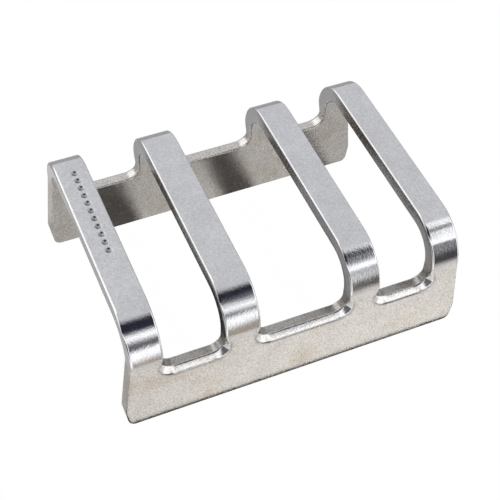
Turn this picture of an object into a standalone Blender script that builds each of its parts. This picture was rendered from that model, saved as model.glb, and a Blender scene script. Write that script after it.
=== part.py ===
"""A low slotted rack, stamped from one sheet of steel and folded into an open channel.

The flat blank is drawn with its three windows, its rims are rounded, and then both long sides are folded down.
Metres, +Z up. X runs along the rack, Y across it, and the two flanges stand on Z = 0.
"""
import math

import bmesh
import bpy

# ---------------------------------------------------------------- driving dimensions
BAR_WIDTHS = (0.0048, 0.0052, 0.0047, 0.0044)   # the cross bars, from -X to +X
WINDOW_WIDTHS = (0.0090, 0.0136, 0.0083)        # the windows between them
WIDTH = 0.0385                                  # outside, flange to flange
HEIGHT = 0.0200                                 # floor to the tops of the bars
SHEET = 0.0024                                  # metal thickness
BEND_RADIUS = 0.0065                            # outside of each fold
SILL_HEIGHT = 0.0103                            # floor to the lower edge of each window
WINDOW_CORNER = 0.0018                          # radius of the window corners
FLARE = 0.11                                    # how far the flange ends lean outwards, per unit of drop
FLARE_RADIUS = 0.0100                           # rounding where that lean starts
TAPER = (0.0008, 0.0032)                        # how far each lower flange corner is cut back along X and up Z
TAPER_RADII = (0.0030, 0.0011)                  # rounding at the upper and lower end of that cut
RIM_ROUND = 0.00045                             # tumbled rounding on every sheet edge

# ---------------------------------------------------------------- how finely curves are faceted
CORNER_STEPS = 5
BEND_STEPS = 9
RIM_SEGMENTS = 2
MERGE = 0.000001
FLAT = math.radians(0.1)

# ---------------------------------------------------------------- sizes that follow
LENGTH = sum(BAR_WIDTHS) + sum(WINDOW_WIDTHS)   # over the bars; the flanges are longer by their flare
MID_RADIUS = BEND_RADIUS - SHEET / 2
TOP_HALF = WIDTH / 2 - BEND_RADIUS              # middle of the top to the start of a fold
BEND_LENGTH = MID_RADIUS * math.pi / 2          # sheet used up by a fold, along its middle
FOLD_END = TOP_HALF + BEND_LENGTH
BLANK_HALF = FOLD_END + HEIGHT - BEND_RADIUS    # middle of the top to the edge of the flat blank


def clear_scene():
    for item in list(bpy.data.objects):
        bpy.data.objects.remove(item, do_unlink=True)


def new_collection(name):
    collection = bpy.data.collections.new(name)
    bpy.context.scene.collection.children.link(collection)
    return collection


def steel():
    material = bpy.data.materials.new("bright_steel")
    material.use_nodes = True
    shader = material.node_tree.nodes["Principled BSDF"]
    shader.inputs["Base Color"].default_value = (0.62, 0.61, 0.60, 1.0)
    shader.inputs["Metallic"].default_value = 1.0
    shader.inputs["Roughness"].default_value = 0.25
    return material


def filleted(corners):
    """Points round a closed outline. Each corner is (x, y, radius)."""
    points = []
    for index, (x, y, radius) in enumerate(corners):
        before = corners[index - 1]
        after = corners[(index + 1) % len(corners)]
        angle_in = math.atan2(y - before[1], x - before[0])
        angle_out = math.atan2(after[1] - y, after[0] - x)
        turn = (angle_out - angle_in + math.pi) % (2 * math.pi) - math.pi
        tangent = radius * math.tan(abs(turn) / 2)
        start_x = x - tangent * math.cos(angle_in)
        start_y = y - tangent * math.sin(angle_in)
        side = math.copysign(1.0, turn)
        centre_x = start_x - side * radius * math.sin(angle_in)
        centre_y = start_y + side * radius * math.cos(angle_in)
        for step in range(CORNER_STEPS + 1):
            heading = angle_in + turn * step / CORNER_STEPS
            points.append((centre_x + side * radius * math.sin(heading),
                           centre_y - side * radius * math.cos(heading)))
    return points


def blank_corners():
    """The outside of the flat blank, anticlockwise, flared past each fold and with its four corners cut back."""
    end, edge = LENGTH / 2, BLANK_HALF
    flared = end + FLARE * (BLANK_HALF - FOLD_END)
    cut_x, cut_y = TAPER
    upper, lower = TAPER_RADII
    foot = [(flared - cut_x, edge, lower), (flared - FLARE * cut_y, edge - cut_y, upper),
            (end, FOLD_END, FLARE_RADIUS)]
    front_left = [(-x, -y, radius) for x, y, radius in reversed(foot)]
    front_right = [(x, -y, radius) for x, y, radius in foot]
    back_right = [(x, y, radius) for x, y, radius in reversed(foot)]
    back_left = [(-x, y, radius) for x, y, radius in foot]
    return front_left + front_right + back_right + back_left


def window_corners(left, right):
    sill = BLANK_HALF - SILL_HEIGHT
    return [(left, -sill, WINDOW_CORNER), (right, -sill, WINDOW_CORNER),
            (right, sill, WINDOW_CORNER), (left, sill, WINDOW_CORNER)]


def window_spans():
    """Where each window starts and ends along X."""
    spans = []
    left = -LENGTH / 2
    for bar, window in zip(BAR_WIDTHS, WINDOW_WIDTHS):
        left += bar
        spans.append((left, left + window))
        left += window
    return spans


def add_outline(curve, points):
    spline = curve.splines.new("POLY")
    spline.points.add(len(points) - 1)
    for point, (x, y) in zip(spline.points, points):
        point.co = (x, y, 0.0, 1.0)
    spline.use_cyclic_u = True


def flat_blank():
    """The flat sheet with its windows, as a welded mesh."""
    curve = bpy.data.curves.new("blank", "CURVE")
    curve.dimensions = "2D"
    curve.fill_mode = "BOTH"
    curve.extrude = SHEET / 2
    curve.render_resolution_u = 0
    add_outline(curve, filleted(blank_corners()))
    for left, right in window_spans():
        add_outline(curve, filleted(window_corners(left, right)))
    drawn = bpy.data.objects.new("blank", curve)
    bpy.context.scene.collection.objects.link(drawn)
    bpy.context.view_layer.update()
    mesh = bpy.data.meshes.new_from_object(drawn.evaluated_get(bpy.context.evaluated_depsgraph_get()))
    bpy.data.objects.remove(drawn, do_unlink=True)
    return mesh


def join_flat_faces(shape):
    """Joins the triangles of each flat face, so that the folds cut it cleanly."""
    bmesh.ops.dissolve_limit(shape, angle_limit=FLAT, verts=shape.verts[:], edges=shape.edges[:])


def round_rims(shape):
    """Rounds the edges where the two faces of the sheet meet its cut sides."""
    rims = [edge for edge in shape.edges if edge.calc_face_angle() > math.radians(60)]
    bmesh.ops.bevel(shape, geom=rims, offset=RIM_ROUND, segments=RIM_SEGMENTS, profile=0.5, affect="EDGES")


def score_folds(shape):
    """Cuts the blank across at each facet of the two folds, so that it can turn there."""
    for step in range(BEND_STEPS + 1):
        place = TOP_HALF + BEND_LENGTH * step / BEND_STEPS
        for side in (-1, 1):
            whole = shape.verts[:] + shape.edges[:] + shape.faces[:]
            bmesh.ops.bisect_plane(shape, geom=whole, dist=MERGE, plane_co=(0, side * place, 0), plane_no=(0, 1, 0))


def folded(x, y, offset):
    """Where a point of the blank goes when the sides are folded down. offset is its height above mid-sheet."""
    side = math.copysign(1.0, y)
    along = abs(y)
    if along <= TOP_HALF:
        return x, y, HEIGHT - SHEET / 2 + offset
    if along >= FOLD_END:
        return x, side * (WIDTH / 2 - SHEET / 2 + offset), HEIGHT - BEND_RADIUS - (along - FOLD_END)
    angle = (along - TOP_HALF) / MID_RADIUS
    reach = MID_RADIUS + offset
    return x, side * (TOP_HALF + reach * math.sin(angle)), HEIGHT - BEND_RADIUS + reach * math.cos(angle)


def slotted_frame(collection):
    mesh = flat_blank()
    shape = bmesh.new()
    shape.from_mesh(mesh)
    bmesh.ops.remove_doubles(shape, verts=shape.verts, dist=MERGE)
    bmesh.ops.recalc_face_normals(shape, faces=shape.faces)
    join_flat_faces(shape)
    round_rims(shape)
    score_folds(shape)
    for vert in shape.verts:
        vert.co = folded(*vert.co)
    bmesh.ops.remove_doubles(shape, verts=shape.verts, dist=MERGE)
    bmesh.ops.recalc_face_normals(shape, faces=shape.faces)
    shape.to_mesh(mesh)
    shape.free()
    mesh.name = "slotted_frame"
    mesh.materials.clear()
    mesh.materials.append(steel())
    mesh.shade_smooth()
    mesh.set_sharp_from_angle(angle=math.radians(30))
    frame = bpy.data.objects.new("slotted_frame", mesh)
    collection.objects.link(frame)
    return frame


def main():
    clear_scene()
    slotted_frame(new_collection("toast_rack"))


main()
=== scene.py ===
"""Looks of the slotted rack: one sheet of bright steel, stamped, folded and tumbled, on a pale studio sweep.

The sheet is meshed flat, with its rounded rims, faint waves and row of punch marks, and is then folded.
Metres, +Z up, in the frame of the CAD part. X runs along the rack and Y across it.
"""
import math

import bmesh
import bpy
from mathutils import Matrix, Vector, kdtree, noise
from mathutils.geometry import delaunay_2d_cdt


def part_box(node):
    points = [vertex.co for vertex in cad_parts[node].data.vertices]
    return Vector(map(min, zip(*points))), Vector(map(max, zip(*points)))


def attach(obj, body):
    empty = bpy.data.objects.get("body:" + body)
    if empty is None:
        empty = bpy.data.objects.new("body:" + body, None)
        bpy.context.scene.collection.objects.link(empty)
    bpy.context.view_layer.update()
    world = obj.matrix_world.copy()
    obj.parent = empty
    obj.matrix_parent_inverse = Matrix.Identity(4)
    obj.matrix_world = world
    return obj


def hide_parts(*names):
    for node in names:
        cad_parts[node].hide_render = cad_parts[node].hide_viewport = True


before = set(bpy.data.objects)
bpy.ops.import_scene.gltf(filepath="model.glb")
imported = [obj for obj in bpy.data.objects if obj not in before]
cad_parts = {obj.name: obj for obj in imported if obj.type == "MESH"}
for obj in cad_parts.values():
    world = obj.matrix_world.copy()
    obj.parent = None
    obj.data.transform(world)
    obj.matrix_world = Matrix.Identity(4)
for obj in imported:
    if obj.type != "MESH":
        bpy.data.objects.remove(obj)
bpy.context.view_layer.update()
NODE = "slotted_frame"
LOW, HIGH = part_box(NODE)

# ---------------------------------------------------------------- the sheet, as the CAD part has it
BAR_WIDTHS = (0.0048, 0.0052, 0.0047, 0.0044)   # the cross bars, from -X to +X
WINDOW_WIDTHS = (0.0090, 0.0136, 0.0083)        # the windows between them
LENGTH = sum(BAR_WIDTHS) + sum(WINDOW_WIDTHS)   # over the bars; the flanges are longer by their flare
WIDTH = HIGH.y - LOW.y
HEIGHT = HIGH.z - LOW.z
SHEET = 0.0024                                  # metal thickness
BEND_RADIUS = 0.0065                            # outside of each fold
SILL_HEIGHT = 0.0103                            # floor to the lower edge of each window
WINDOW_CORNER = 0.0018                          # radius of the window corners
FLARE = 0.11                                    # how far the flange ends lean outwards, per unit of drop
FLARE_RADIUS = 0.0100                           # rounding where that lean starts
TAPER = (0.0008, 0.0032)                        # how far each lower flange corner is cut back, in X and Z
TAPER_RADII = (0.0030, 0.0011)                  # rounding at the upper and lower end of that cut
MID_RADIUS = BEND_RADIUS - SHEET / 2
TOP_HALF = WIDTH / 2 - BEND_RADIUS              # middle of the top to the start of a fold
BEND_LENGTH = MID_RADIUS * math.pi / 2          # sheet used up by a fold, along its middle
FOLD_END = TOP_HALF + BEND_LENGTH
BLANK_HALF = FOLD_END + HEIGHT - BEND_RADIUS    # middle of the top to the edge of the flat blank
SILL = BLANK_HALF - SILL_HEIGHT                 # middle of the top to the sill of a window

# ---------------------------------------------------------------- what stamping and tumbling leave, with painted shade in the windows
# each rounding is (reach over the face, depth down the cut side, how far it is a flat bevel, from 0 to 1)
BAR_ROUND = (0.00028, 0.00030, 0.0)             # outer rims along the bars
SILL_ROUND = (0.00100, 0.00105, 1.0)            # and at the sills, which are coined
OUTSIDE_ROUND = (0.00038, 0.00042, 0.0)         # and round the outside of the blank
INNER_ROUND = (0.00034, 0.00034, 0.0)           # rims on the inner face
BEVEL_TURN = 0.45                               # rounding at each end of a bevel, as a share of its size
BEVEL_LINE = 0.9                                   # how dark the line along each bevel is
BEVEL_LINE_PLACE = 0.1                             # where that line lies, as a share of the bevel from the face
BEVEL_LINE_SPREAD = 0.25                           # how far it fades on each side, in the same share
OUTSIDE_RAW = 0.25                              # how raw the cut side is round the outside of the blank
WINDOW_RAW_AND_SHADE = 0.58                               # and in the windows, raw metal with painted shade on top
BEND_LESS_SHADE = 0.42                            # less of that painted shade from the back bends on
FACING_SHADE = 0.12                               # more painted shade on the sides that face -X
FACING_SHADE_BEHIND = 0.30                        # and more painted shade still in their back halves
BEND_START = (0.0100, 0.0150)                   # Y over which the back bends take over
BACK_HALF_START = (-0.003, 0.002)               # Y over which the back halves take over
INNER_POLISH = 0.28                             # how far the inner faces of the flanges are polished
FOLD_BLEND = BEND_LENGTH * 0.22                 # half the length over which a fold's polish comes in
WAVE_DEPTH = 0.000009                           # how far the faces dip between waves
WAVE_LENGTH = 0.0042
PUNCH_COUNT = 11
PUNCH_RADIUS = 0.00052
PUNCH_DEPTH = 0.00026
PUNCH_PITCH = 0.00155
PUNCH_START = 0.0120                            # Y of the mark nearest the back
PUNCH_X = -LENGTH / 2 + 0.0027
PUNCH_RINGS = ((0.35, 8), (0.7, 14), (0.9, 18), (1.0, 20), (1.12, 22))   # (share of the radius, points)

# ---------------------------------------------------------------- how finely it is meshed
SPACING = 0.00050
FOLD_ROWS = 44
CORNER_STEPS = 12
RIM_STEPS = 10
SUPPORT = 0.00005                               # flat strip kept beside each rounded rim
OUTER_FACE = SHEET * 0.49                       # points higher than this over mid-sheet are on the outer face
ZONES = ("polish", "flange", "cut", "mark")     # what the material reads about each point of the sheet


# ================================================================ the sheet
def smooth_step(value, start, end):
    share = min(max((value - start) / (end - start), 0.0), 1.0)
    return share * share * (3 - 2 * share)


def row_places():
    """The Y of every row of points across the blank: close together in the folds."""
    half = [SPACING * step for step in range(int(TOP_HALF / SPACING))]
    half += [TOP_HALF + BEND_LENGTH * step / FOLD_ROWS for step in range(FOLD_ROWS + 1)]
    steps = int((BLANK_HALF - FOLD_END) / SPACING)
    half += [FOLD_END + SPACING * step for step in range(1, steps + 1)]
    return sorted({-place for place in half} | set(half))


def filleted(corners):
    """Points round a closed outline as (x, y, heading). Each corner is (x, y, radius)."""
    points = []
    for index, (x, y, radius) in enumerate(corners):
        before = corners[index - 1]
        after = corners[(index + 1) % len(corners)]
        angle_in = math.atan2(y - before[1], x - before[0])
        angle_out = math.atan2(after[1] - y, after[0] - x)
        turn = (angle_out - angle_in + math.pi) % (2 * math.pi) - math.pi
        tangent = radius * math.tan(abs(turn) / 2)
        side = math.copysign(1.0, turn)
        centre_x = x - tangent * math.cos(angle_in) - side * radius * math.sin(angle_in)
        centre_y = y - tangent * math.sin(angle_in) + side * radius * math.cos(angle_in)
        for step in range(CORNER_STEPS + 1):
            heading = angle_in + turn * step / CORNER_STEPS
            points.append((centre_x + side * radius * math.sin(heading),
                           centre_y - side * radius * math.cos(heading), heading))
    return points


def with_runs(points, rows):
    """The same outline with points along its straight runs too: on the rows where it runs across them."""
    full = []
    for index, (x, y, heading) in enumerate(points):
        after_x, after_y, after_heading = points[(index + 1) % len(points)]
        full.append((x, y, heading))
        if abs(math.remainder(after_heading - heading, 2 * math.pi)) > 1e-6:
            continue
        if abs(after_y - y) > abs(after_x - x):
            gap = SPACING * 0.2
            low, high = min(y, after_y) + gap, max(y, after_y) - gap
            places = sorted((row for row in rows if low < row < high), reverse=after_y < y)
            shares = [(place - y) / (after_y - y) for place in places]
        else:
            count = math.ceil(abs(after_x - x) / SPACING)
            shares = [step / count for step in range(1, count)]
        full += [(x + share * (after_x - x), y + share * (after_y - y), heading) for share in shares]
    return full


def blank_outline(rows):
    """The outside of the flat blank, anticlockwise, so that the metal is on the left."""
    end, edge = LENGTH / 2, BLANK_HALF
    flared = end + FLARE * (BLANK_HALF - FOLD_END)
    cut_x, cut_y = TAPER
    upper, lower = TAPER_RADII
    foot = [(flared - cut_x, edge, lower), (flared - FLARE * cut_y, edge - cut_y, upper),
            (end, FOLD_END, FLARE_RADIUS)]
    front_left = [(-x, -y, radius) for x, y, radius in reversed(foot)]
    front_right = [(x, -y, radius) for x, y, radius in foot]
    back_right = [(x, y, radius) for x, y, radius in reversed(foot)]
    back_left = [(-x, y, radius) for x, y, radius in foot]
    return with_runs(filleted(front_left + front_right + back_right + back_left), rows)


def window_outline(left, right, rows):
    """A window, clockwise, so that the metal is on the left."""
    corners = [(left, -SILL, WINDOW_CORNER), (left, SILL, WINDOW_CORNER),
               (right, SILL, WINDOW_CORNER), (right, -SILL, WINDOW_CORNER)]
    return with_runs(filleted(corners), rows)


def window_spans():
    """Where each window starts and ends along X."""
    spans = []
    left = -LENGTH / 2
    for bar, window in zip(BAR_WIDTHS, WINDOW_WIDTHS):
        left += bar
        spans.append((left, left + window))
        left += window
    return spans


def outside_rounding(y):
    return OUTSIDE_ROUND


def window_rounding(y):
    """Slight along the bars, and wider round the corners and along the sill."""
    share = smooth_step(abs(y), SILL - WINDOW_CORNER * 2.2, SILL - WINDOW_CORNER * 0.5)
    return tuple(bar + share * (sill - bar) for bar, sill in zip(BAR_ROUND, SILL_ROUND))


def bevel_point(share):
    """A point of a flat bevel with rounded ends across a unit corner, from (1, 0) at 0 to (0, 1) at 1."""
    if share > 0.5:
        return bevel_point(1 - share)[::-1]
    angle = math.radians(45) * min(share / 0.4, 1.0)
    inset = 1 - BEVEL_TURN * math.sin(angle)
    drop = BEVEL_TURN * (1 - math.cos(angle))
    to_middle = max(share - 0.4, 0.0) / 0.1 * (inset - drop) / 2
    return inset - to_middle, drop + to_middle


def quarter(rounding, steps):
    """A rounded rim from the face to the cut side, as (distance from the cut, depth, share done)."""
    reach, depth, bevel = rounding
    points = []
    for step in range(steps + 1):
        angle = math.pi / 2 * step / steps
        inset, drop = 1 - math.sin(angle), 1 - math.cos(angle)
        flat_inset, flat_drop = bevel_point(step / steps)
        points.append((reach * (inset + bevel * (flat_inset - inset)),
                       depth * (drop + bevel * (flat_drop - drop)), step / steps))
    return points


def outside_rawness(y, heading):
    """How far the cut side shows raw metal, round the outside of the blank."""
    return OUTSIDE_RAW


def window_raw_and_shade(y, heading):
    """The same in a window, raw metal with painted shade on top: most on the back halves that face -X, and
    least from the back bends on.
    """
    facing = max(-math.sin(heading), 0.0)
    at_bend = smooth_step(y, *BEND_START)
    behind = smooth_step(y, *BACK_HALF_START) * (1 - at_bend)
    raised = FACING_SHADE * (1 - at_bend) + FACING_SHADE_BEHIND * behind
    return WINDOW_RAW_AND_SHADE - BEND_LESS_SHADE * at_bend + facing * raised


def rim_profile(rounding, raw_and_shade):
    """The rim from the outer face round the cut side to the inner face, as (distance from the cut, height,
    how far it is raw metal and painted shade, how far it is polished, how far a dark line lies along the
    bevel)."""
    bevel = rounding[2]
    profile = [(rounding[0] + SUPPORT, SHEET / 2, 0.0, 0.0, bevel * BEVEL_LINE * 0.5)]
    for inset, drop, share in quarter(rounding, RIM_STEPS):
        cut = share ** 4
        polish = bevel * smooth_step(share, 0.0, 0.3) * (1 - cut)
        dark_line = bevel * BEVEL_LINE * max(1 - abs(share - BEVEL_LINE_PLACE) / BEVEL_LINE_SPREAD, 0.0)
        profile.append((inset, SHEET / 2 - drop, cut * raw_and_shade, polish, dark_line))
    for inset, drop, share in reversed(quarter(INNER_ROUND, RIM_STEPS // 2)):
        profile.append((inset, drop - SHEET / 2, share ** 4 * raw_and_shade, 0.0, 0.0))
    profile.append((INNER_ROUND[0] + SUPPORT, -SHEET / 2, 0.0, 0.0, 0.0))
    return profile


def add_rim(shape, outline, rounding, raw_and_shade):
    """Rings of points round one outline, joined by faces. Returns the first ring and the last one."""
    layers = shape.verts.layers.float
    rings = []
    profiles = [rim_profile(rounding(y), raw_and_shade(y, heading)) for x, y, heading in outline]
    for level in range(len(profiles[0])):
        ring = []
        for (x, y, heading), profile in zip(outline, profiles):
            inset, height, cut, polish, dark_line = profile[level]
            vert = shape.verts.new((x - inset * math.sin(heading), y + inset * math.cos(heading), height))
            vert[layers["cut"]] = cut
            vert[layers["polish"]] = polish
            vert[layers["mark"]] = dark_line
            ring.append(vert)
        rings.append(ring)
    for ring, below in zip(rings, rings[1:]):
        for index in range(len(ring)):
            after = (index + 1) % len(ring)
            shape.faces.new((ring[index], below[index], below[after], ring[after]))
    return rings[0], rings[-1]


def punch_centres():
    return [(PUNCH_X, PUNCH_START - PUNCH_PITCH * step) for step in range(PUNCH_COUNT)]


def punch_rings():
    """Points round and inside each punch mark, so that its edge is crisp."""
    points = []
    for x, y in punch_centres():
        points.append((x, y))
        for share, count in PUNCH_RINGS:
            for step in range(count):
                angle = 2 * math.pi * step / count
                reach = PUNCH_RADIUS * share
                points.append((x + reach * math.cos(angle), y + reach * math.sin(angle)))
    return points


def punch_distance(x, y):
    return min(math.hypot(x - centre_x, y - centre_y) for centre_x, centre_y in punch_centres())


def punch_depth(x, y):
    return PUNCH_DEPTH * (1 - smooth_step(punch_distance(x, y), PUNCH_RADIUS * 0.3, PUNCH_RADIUS * 1.05))


def metal_spans(loops, y):
    """Where the row at y crosses the metal between the loops, as (start, end) along X."""
    crossings = []
    for loop in loops:
        for here, after in zip(loop, loop[1:] + loop[:1]):
            if (here.y <= y) != (after.y <= y):
                crossings.append(here.x + (after.x - here.x) * (y - here.y) / (after.y - here.y))
    crossings.sort()
    return list(zip(crossings[::2], crossings[1::2]))


def face_points(loops, rows, marked):
    """Points spread over one face of the sheet, clear of its rims and of the punch marks."""
    loops = [[vert.co.xy for vert in loop] for loop in loops]
    rim_points = [place for loop in loops for place in loop]
    near = kdtree.KDTree(len(rim_points))
    for index, place in enumerate(rim_points):
        near.insert(place.to_3d(), index)
    near.balance()
    points = punch_rings() if marked else []
    for number, y in enumerate(rows):
        for start, end in metal_spans(loops, y):
            count = round((end - start) / SPACING)
            shift = 0.5 * (number % 2)
            for step in range(count):
                x = start + (end - start) * (step + shift) / count
                if near.find((x, y, 0))[2] < SPACING * 0.4:
                    continue
                if marked and punch_distance(x, y) < PUNCH_RADIUS + SPACING * 0.5:
                    continue
                points.append((x, y))
    return points


def fill_face(shape, loops, rows, marked):
    """Triangles over one face of the sheet, between its rims. The first loop is the outside of the blank. A
    triangle with all its corners on one of the others lies in that window, because windows are convex."""
    verts = [vert for loop in loops for vert in loop]
    height = verts[0].co.z
    edges = []
    window_of = {}
    for number, loop in enumerate(loops):
        start = len(edges)
        edges += [(start + index, start + (index + 1) % len(loop)) for index in range(len(loop))]
        window_of.update({start + index: number for index in range(len(loop)) if number > 0})
    verts += [shape.verts.new((x, y, height)) for x, y in face_points(loops, rows, marked)]
    filled = delaunay_2d_cdt([vert.co.xy for vert in verts], edges, [], 1, 1e-9)
    faces, sources = filled[2], filled[3]
    for corners in faces:
        origins = [sources[corner][0] for corner in corners]
        windows = {window_of.get(origin, 0) for origin in origins}
        if len(windows) == 1 and 0 not in windows:
            continue
        triangle = [verts[origin] for origin in origins]
        shape.faces.new(triangle if height > 0 else reversed(triangle))


def waves(x, y):
    """How far the faces dip here, from 0 to WAVE_DEPTH."""
    value = noise.noise(Vector((x / WAVE_LENGTH, y / WAVE_LENGTH, 3.7)))
    fine = noise.noise(Vector((x / WAVE_LENGTH * 2.7, y / WAVE_LENGTH * 2.7, 9.1)))
    return WAVE_DEPTH * min(max(0.5 + value * 0.6 + fine * 0.25, 0.0), 1.0)


def folded(x, y, offset):
    """Where a point of the blank goes when the sides are folded. offset is its height above mid-sheet."""
    side = math.copysign(1.0, y)
    along = abs(y)
    if along <= TOP_HALF:
        return x, y, HEIGHT - SHEET / 2 + offset
    if along >= FOLD_END:
        return x, side * (WIDTH / 2 - SHEET / 2 + offset), HEIGHT - BEND_RADIUS - (along - FOLD_END)
    angle = (along - TOP_HALF) / MID_RADIUS
    reach = MID_RADIUS + offset
    return x, side * (TOP_HALF + reach * math.sin(angle)), HEIGHT - BEND_RADIUS + reach * math.cos(angle)


def set_zones(vert, layers):
    """Marks how far a point of the flat blank lies in a fold, in a flange and in a punch mark."""
    x, y, height = vert.co
    rise = smooth_step(abs(y), TOP_HALF - FOLD_BLEND, TOP_HALF + FOLD_BLEND)
    settle = smooth_step(abs(y), FOLD_END - FOLD_BLEND * 0.6, FOLD_END + FOLD_BLEND * 0.6)
    coined = vert[layers["polish"]]
    inner = INNER_POLISH if height < 0 else 0.0
    vert[layers["polish"]] = max(coined, rise * (1 - settle), inner * settle)
    vert[layers["flange"]] = settle * (1 - 0.6 * coined)
    if height > OUTER_FACE:
        punched = 1 - smooth_step(punch_distance(x, y), PUNCH_RADIUS * 0.8, PUNCH_RADIUS * 1.1)
        vert[layers["mark"]] = max(punched, vert[layers["mark"]])


def stamped_sheet():
    rows = row_places()
    shape = bmesh.new()
    layers = shape.verts.layers.float
    for name in ZONES:
        layers.new(name)
    rims = [add_rim(shape, blank_outline(rows), outside_rounding, outside_rawness)]
    for left, right in window_spans():
        rims.append(add_rim(shape, window_outline(left, right, rows), window_rounding, window_raw_and_shade))
    fill_face(shape, [first for first, last in rims], rows, marked=True)
    fill_face(shape, [last for first, last in rims], rows, marked=False)
    for vert in shape.verts:
        set_zones(vert, layers)
        x, y, height = vert.co
        if height > OUTER_FACE:
            height -= punch_depth(x, y)
        height *= 1 - waves(x, y) / (SHEET / 2)
        vert.co = folded(x, y, height)
    bmesh.ops.recalc_face_normals(shape, faces=shape.faces)
    mesh = bpy.data.meshes.new("stamped_sheet")
    shape.to_mesh(mesh)
    shape.free()
    mesh.shade_smooth()
    sheet = bpy.data.objects.new("stamped_sheet", mesh)
    bpy.context.scene.collection.objects.link(sheet)
    return sheet


# ================================================================ nodes
def add_node(tree, kind, inputs=None, **settings):
    """A node with its settings, and with each named input set to a value or linked to a socket."""
    node = tree.nodes.new(kind)
    for name, value in settings.items():
        setattr(node, name, value)
    for name, value in (inputs or {}).items():
        if isinstance(value, bpy.types.NodeSocket):
            tree.links.new(value, node.inputs[name])
        else:
            node.inputs[name].default_value = value
    return node


def calculate(tree, operation, first, second=0.0):
    return add_node(tree, "ShaderNodeMath", {0: first, 1: second}, operation=operation).outputs[0]


def ease(tree, value, start, end, low=0.0, high=1.0):
    """Goes smoothly from low to high as value goes from start to end."""
    inputs = {"Value": value, "From Min": start, "From Max": end, "To Min": low, "To Max": high}
    return add_node(tree, "ShaderNodeMapRange", inputs, interpolation_type="SMOOTHSTEP").outputs[0]


def blend_colour(tree, share, first, second, mode="MIX"):
    node = add_node(tree, "ShaderNodeMix", data_type="RGBA", blend_type=mode)
    for socket, value in ((node.inputs[0], share), (node.inputs[6], first), (node.inputs[7], second)):
        if isinstance(value, bpy.types.NodeSocket):
            tree.links.new(value, socket)
        else:
            socket.default_value = value
    return node.outputs[2]


def stretched(tree, place, turn, scale):
    inputs = {"Vector": place, "Rotation": turn, "Scale": scale}
    return add_node(tree, "ShaderNodeMapping", inputs).outputs[0]


def cloud(tree, place, size, detail=2.0):
    """Noise from 0 to 1 whose blotches are about size metres across."""
    inputs = {"Vector": place, "Scale": 1 / size, "Detail": detail, "Roughness": 0.6}
    return add_node(tree, "ShaderNodeTexNoise", inputs).outputs["Fac"]


# ================================================================ the steel
COOL_STEEL = (0.600, 0.602, 0.618, 1.0)
WARM_STEEL = (0.640, 0.613, 0.582, 1.0)
# the darkest cut side: raw metal, and painted shade in the windows
CUT_STEEL_AND_SHADE = (0.160, 0.150, 0.142, 1.0)
MARK_STEEL = (0.200, 0.195, 0.200, 1.0)         # darker colour, in the punch marks and along a line on each bevel
MARK_COVER = 0.8                                # how far it covers the metal
STAIN = (0.86, 0.80, 0.70, 1.0)
WHITE = (1.0, 1.0, 1.0, 1.0)
ROUGHNESS = (0.24, 0.28)                        # on the top and on the flanges
STAINED = (0.12, 0.75)                          # how far stains show, on the top and on the flanges
SPECKLED = (0.45, 1.0)                          # the same for speckles
GRAINED = (0.55, 1.0)                           # and for the relief of the grain
POLISH_GAIN = 0.18                              # how much smoother polished metal is
CUT_LOSS = 0.06                                 # how much rougher raw metal is
GRAIN_SIZE = 0.00030                            # how wide the blotches of each noise are
MOTTLE_SIZE = 0.0026
STAIN_SIZE = 0.0060
SHEEN_SIZE = 0.0018
SCRATCH_SIZE = 0.0008
SCRATCH_TURN = (0.3, 0.2, 0.5)                  # radians
SCRATCH_SCALE = (0.25, 6.0, 6.0)
GRAIN_DEPTH = 0.0000200
SCRATCH_DEPTH = 0.0000020


def top_to_flange(tree, zones, values):
    """The first value on the top and the second on the flanges, with a smooth change between them."""
    return ease(tree, zones["flange"], 0.0, 1.0, *values)


def steel_colour(tree, place, zones, grain):
    tone = blend_colour(tree, zones["flange"], COOL_STEEL, WARM_STEEL)
    # the cut sides darken: raw metal round the outside, and in the windows painted shade on top of it
    tone = blend_colour(tree, zones["cut"], tone, CUT_STEEL_AND_SHADE)
    tone = blend_colour(tree, calculate(tree, "MULTIPLY", zones["mark"], MARK_COVER), tone, MARK_STEEL)
    mottle = ease(tree, cloud(tree, place, MOTTLE_SIZE, 4.0), 0.30, 0.70, 0.955, 1.035)
    tone = blend_colour(tree, 1.0, tone, mottle, "MULTIPLY")
    stained = ease(tree, cloud(tree, place, STAIN_SIZE, 3.0), 0.52, 0.74)
    stained = calculate(tree, "MULTIPLY", stained, top_to_flange(tree, zones, STAINED))
    tone = blend_colour(tree, stained, tone, blend_colour(tree, 1.0, tone, STAIN, "MULTIPLY"))
    speckle = ease(tree, grain, 0.25, 0.75, 0.74, 1.22)
    speckle = blend_colour(tree, top_to_flange(tree, zones, SPECKLED), WHITE, speckle)
    return blend_colour(tree, 1.0, tone, speckle, "MULTIPLY")


def steel_roughness(tree, place, zones, grain):
    value = top_to_flange(tree, zones, ROUGHNESS)
    polish = calculate(tree, "MULTIPLY", zones["polish"], POLISH_GAIN)
    value = calculate(tree, "SUBTRACT", value, polish)
    value = calculate(tree, "ADD", value, calculate(tree, "MULTIPLY", zones["cut"], CUT_LOSS))
    sheen = ease(tree, cloud(tree, place, SHEEN_SIZE, 3.0), 0.3, 0.7, -0.025, 0.035)
    value = calculate(tree, "ADD", value, sheen)
    return calculate(tree, "ADD", value, ease(tree, grain, 0.2, 0.8, -0.03, 0.04))


def steel_relief(tree, place, zones, grain):
    """Tumbled grain everywhere, and hairline scratches on the faces."""
    strength = top_to_flange(tree, zones, GRAINED)
    inputs = {"Height": grain, "Strength": strength, "Distance": GRAIN_DEPTH}
    peened = add_node(tree, "ShaderNodeBump", inputs)
    lines = cloud(tree, stretched(tree, place, SCRATCH_TURN, SCRATCH_SCALE), SCRATCH_SIZE)
    inputs = {"Height": lines, "Strength": 0.25, "Distance": SCRATCH_DEPTH, "Normal": peened.outputs[0]}
    return add_node(tree, "ShaderNodeBump", inputs).outputs[0]


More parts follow.
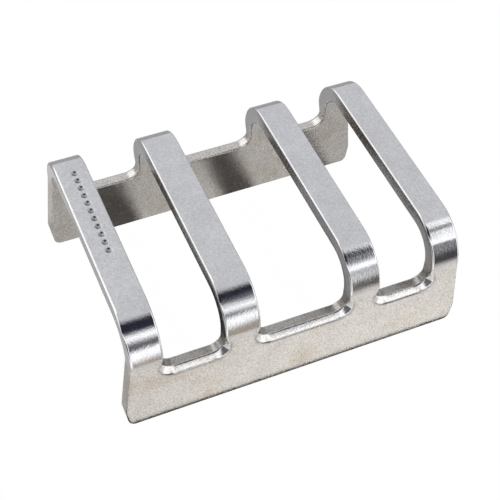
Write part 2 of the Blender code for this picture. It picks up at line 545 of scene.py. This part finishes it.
def tumbled_steel():
    """Bright steel with a tumbled grain: satin on top, polished round the folds, frosted on the flanges."""
    material = bpy.data.materials.new("tumbled_steel")
    material.use_nodes = True
    tree = material.node_tree
    shader = tree.nodes["Principled BSDF"]
    place = add_node(tree, "ShaderNodeTexCoord").outputs["Object"]
    zones = {name: add_node(tree, "ShaderNodeAttribute", attribute_name=name).outputs["Fac"]
             for name in ZONES}
    grain = cloud(tree, place, GRAIN_SIZE, 3.0)
    tree.links.new(steel_colour(tree, place, zones, grain), shader.inputs["Base Color"])
    tree.links.new(steel_roughness(tree, place, zones, grain), shader.inputs["Roughness"])
    tree.links.new(steel_relief(tree, place, zones, grain), shader.inputs["Normal"])
    shader.inputs["Metallic"].default_value = 1.0
    return material


# ================================================================ the studio
CAMERA_PLACE = (-0.04657, -0.10200, 0.14109)
CAMERA_TURN = (39.712, -1.586, -22.937)         # degrees
LENS = 82.38
WORLD_MIDDLE = 0.30                             # how far to +X the middle of the front reflections lies
SKY = (0.87, 0.875, 0.895, 1.0)
GLOW = (1.75, 1.75, 1.75, 1.0)
DARK = (0.035, 0.035, 0.055, 1.0)
SHADE = (0.29, 0.30, 0.32, 1.0)
DIM_PAPER = (0.57, 0.51, 0.42, 1.0)
LIT_PAPER = (0.95, 0.92, 0.88, 1.0)
BACK_PAPER = (0.48, 0.48, 0.49, 1.0)
# what lies under the rack, with painted shade and painted light, as (name, from X, to X, from Y, to Y,
# lightness, glow)
CARDS = (("front_card", -0.1500, 0.1500, -0.0315, -0.0198, 0.77, 0.0),
         # painted contact shadow: a dark strip along the foot of the front flange
         ("contact_shadow_card", -0.1500, 0.1500, -0.0198, -0.0181, 0.05, 0.0),
         # painted light: a self-lit card to -X, where the rack's shadow falls
         ("side_glow_card", -0.1500, -0.0262, -0.0181, 0.0360, 0.72, 0.7),
         # painted shade: a darker card under the rack
         ("under_rack_shade_card", -0.0262, 0.0165, -0.0181, 0.0360, 0.46, 0.0),
         # painted shade, with a glow of painted light that lifts the shadow of the last bar
         ("far_shade_and_glow_card", 0.0165, 0.1500, -0.0181, 0.0360, 0.46, 0.3))
SWEEP_REACH = 1.6                               # radius of the sweep, and its height at the edge
SWEEP_BEND = 0.7
SWEEP_GLOW = 0.995                              # it is almost wholly self-lit
KEY_PLACE = (0.047, -0.020, 0.194)
KEY_POWER = 1.9                                 # watts
KEY_RADIUS = 0.010
FILL_STRENGTH = 0.08
FILL_SPREAD = 160                               # degrees


def add_camera():
    camera = bpy.data.objects.new("camera", bpy.data.cameras.new("camera"))
    camera.data.lens = LENS
    camera.data.clip_start = 0.01
    camera.data.clip_end = 10.0
    camera.location = CAMERA_PLACE
    camera.rotation_euler = [math.radians(angle) for angle in CAMERA_TURN]
    bpy.context.scene.collection.objects.link(camera)
    bpy.context.scene.camera = camera


class Surroundings:
    """What the metal mirrors, painted by direction. rise is the angle above the front horizon, in degrees,
    over the top to 180 at the back horizon, and across is how far the direction points to +X."""

    def __init__(self, tree):
        self.tree = tree
        direction = add_node(tree, "ShaderNodeTexCoord").outputs["Generated"]
        parts = add_node(tree, "ShaderNodeSeparateXYZ", {0: direction}).outputs
        forward = calculate(tree, "MULTIPLY", parts["Y"], -1.0)
        self.rise = calculate(tree, "DEGREES", calculate(tree, "ARCTAN2", parts["Z"], forward))
        self.across = parts["X"]
        self.colour = SKY

    def past(self, edge):
        """0 below a slanting edge and 1 above it. An edge is (rise at the middle, slope, blur)."""
        middle, slope, blur = edge
        offset = calculate(self.tree, "SUBTRACT", self.across, WORLD_MIDDLE)
        level = calculate(self.tree, "SUBTRACT", self.rise, calculate(self.tree, "MULTIPLY", offset, slope))
        return ease(self.tree, level, middle - blur / 2, middle + blur / 2)

    def panel(self, colour, lower, upper, share=1.0, from_x=None, to_x=None):
        """Covers the directions between two edges with colour. from_x and to_x limit it, as (clear, full)."""
        below_upper = calculate(self.tree, "SUBTRACT", 1.0, self.past(upper))
        mask = calculate(self.tree, "MULTIPLY", self.past(lower), below_upper)
        for limit in (from_x, to_x):
            if limit:
                clear, full = limit
                low, high = float(full < clear), float(full > clear)
                step = ease(self.tree, self.across, min(limit), max(limit), low, high)
                mask = calculate(self.tree, "MULTIPLY", mask, step)
        mask = calculate(self.tree, "MULTIPLY", mask, share)
        self.colour = blend_colour(self.tree, mask, self.colour, colour)


def add_surroundings():
    world = bpy.data.worlds.new("studio")
    bpy.context.scene.world = world
    world.use_nodes = True
    tree = world.node_tree
    around = Surroundings(tree)
    nadir = (-180, 0, 1)
    around.panel(GLOW, (105, 0, 10), (168, 0, 10), to_x=(0.02, -0.16))
    around.panel(GLOW, (68, 0, 6), (83, 0, 12), from_x=(0.32, 0.43))
    around.panel(BACK_PAPER, nadir, (-100, 0, 12))
    around.panel(DIM_PAPER, (-100, 0, 12), (-11, 125, 1))
    around.panel(GLOW, (-11, 125, 28), (66, 0, 8))
    around.panel(DARK, (42.5, 0, 19), (76, -5, 17), to_x=(0.45, 0.34))
    around.panel(SHADE, (36, 100, 7), (57, 0, 10), share=0.62, from_x=(0.21, 0.25), to_x=(0.41, 0.36))
    around.panel(SHADE, (58, 0, 5), (67, 0, 5), share=0.85, from_x=(0.35, 0.40))
    around.panel(DARK, (14.5, 100, 14), (18.5, -45, 22), share=0.90, from_x=(-0.12, 0.04))
    around.panel(DARK, (-43, 0, 6), (26.5, -10, 4), from_x=(0.21, 0.50), to_x=(0.60, 0.48))
    around.panel(DARK, (-30, 0, 14), (-6, 0, 12), share=0.40, from_x=(0.29, 0.34), to_x=(0.60, 0.48))
    around.panel(LIT_PAPER, (-100, 0, 12), (-34, 0, 22), from_x=(0.25, 0.36))
    around.panel(GLOW, (-70, 0, 40), (66, 0, 8), from_x=(0.55, 0.75))
    around.panel(DARK, (-35, 0, 20), (22, 0, 16), share=0.90, to_x=(-0.28, -0.46))
    background = tree.nodes["Background"]
    tree.links.new(around.colour, background.inputs["Color"])
    world.cycles_visibility.diffuse = False
    world.cycles_visibility.camera = False
    world.cycles.sampling_method = "MANUAL"
    world.cycles.sample_map_resolution = 1024


def only_seen_by(item, camera):
    """Shows a stage piece either to the camera alone or to everything but the camera."""
    item.visible_camera = camera
    item.visible_glossy = not camera
    item.visible_diffuse = not camera
    item.visible_transmission = not camera
    item.visible_shadow = False


def stage_piece(name, shape, material):
    mesh = bpy.data.meshes.new(name)
    shape.to_mesh(mesh)
    shape.free()
    mesh.materials.append(material)
    item = bpy.data.objects.new(name, mesh)
    bpy.context.scene.collection.objects.link(item)
    return item


def paper(name, colour, glow):
    """Plain paper. glow is the share of its colour that it gives by itself, which keeps shadows faint."""
    material = bpy.data.materials.new(name)
    material.use_nodes = True
    tree = material.node_tree
    shader = tree.nodes["Principled BSDF"]
    shader.inputs["Base Color"].default_value = tuple(part * (1 - glow) for part in colour[:3]) + (1.0,)
    shader.inputs["Roughness"].default_value = 1.0
    shader.inputs["Specular IOR Level"].default_value = 0.0
    shader.inputs["Emission Color"].default_value = colour
    shader.inputs["Emission Strength"].default_value = glow
    return material


def add_sweep():
    """The pale floor that the camera sees: flat under the rack, and curved up far out on every side."""
    flat = SWEEP_REACH - SWEEP_BEND
    shape = bmesh.new()
    profile = [(0.0, 0.0), (flat, 0.0)]
    for degrees in range(10, 91, 10):
        angle = math.radians(degrees)
        profile.append((flat + SWEEP_BEND * math.sin(angle), SWEEP_BEND - SWEEP_BEND * math.cos(angle)))
    profile.append((SWEEP_REACH, SWEEP_REACH))
    chain = [shape.verts.new((x, 0.0, z)) for x, z in profile]
    edges = [shape.edges.new(pair) for pair in zip(chain, chain[1:])]
    bmesh.ops.spin(shape, geom=chain + edges, axis=(0, 0, 1), cent=(0, 0, 0), steps=64, angle=2 * math.pi)
    bmesh.ops.remove_doubles(shape, verts=shape.verts, dist=0.0001)
    sweep = stage_piece("sweep", shape, paper("sweep_paper", WHITE, SWEEP_GLOW))
    sweep.data.shade_smooth()
    only_seen_by(sweep, camera=True)


def add_card(name, left, right, front, back, lightness, glow):
    """A piece of paper on the floor, as the metal mirrors it. Some of them are painted shade, and some
    painted light.
    """
    shape = bmesh.new()
    corners = ((left, front, 0.0), (right, front, 0.0), (right, back, 0.0), (left, back, 0.0))
    shape.faces.new([shape.verts.new(corner) for corner in corners])
    colour = (lightness, lightness * 0.985, lightness * 0.97, 1.0)
    only_seen_by(stage_piece(name, shape, paper(name, colour, glow)), camera=False)


def add_lamps():
    """A small key lamp and a faint, wide fill, which light the paper. The metal mirrors the surroundings."""
    key = bpy.data.lights.new("key", "POINT")
    key.energy = KEY_POWER
    key.shadow_soft_size = KEY_RADIUS
    fill = bpy.data.lights.new("fill", "SUN")
    fill.energy = FILL_STRENGTH
    fill.angle = math.radians(FILL_SPREAD)
    for light, place in ((key, KEY_PLACE), (fill, (0, 0, 0))):
        lamp = bpy.data.objects.new(light.name, light)
        lamp.location = place
        lamp.visible_glossy = False
        bpy.context.scene.collection.objects.link(lamp)


# ================================================================ the whole scene
add_camera()
rack = stamped_sheet()
rack.data.materials.append(tumbled_steel())
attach(rack, "root")
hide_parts(NODE)

add_surroundings()
add_sweep()
for card in CARDS:
    add_card(*card)
add_lamps()
bpy.context.scene.view_settings.view_transform = "Standard"
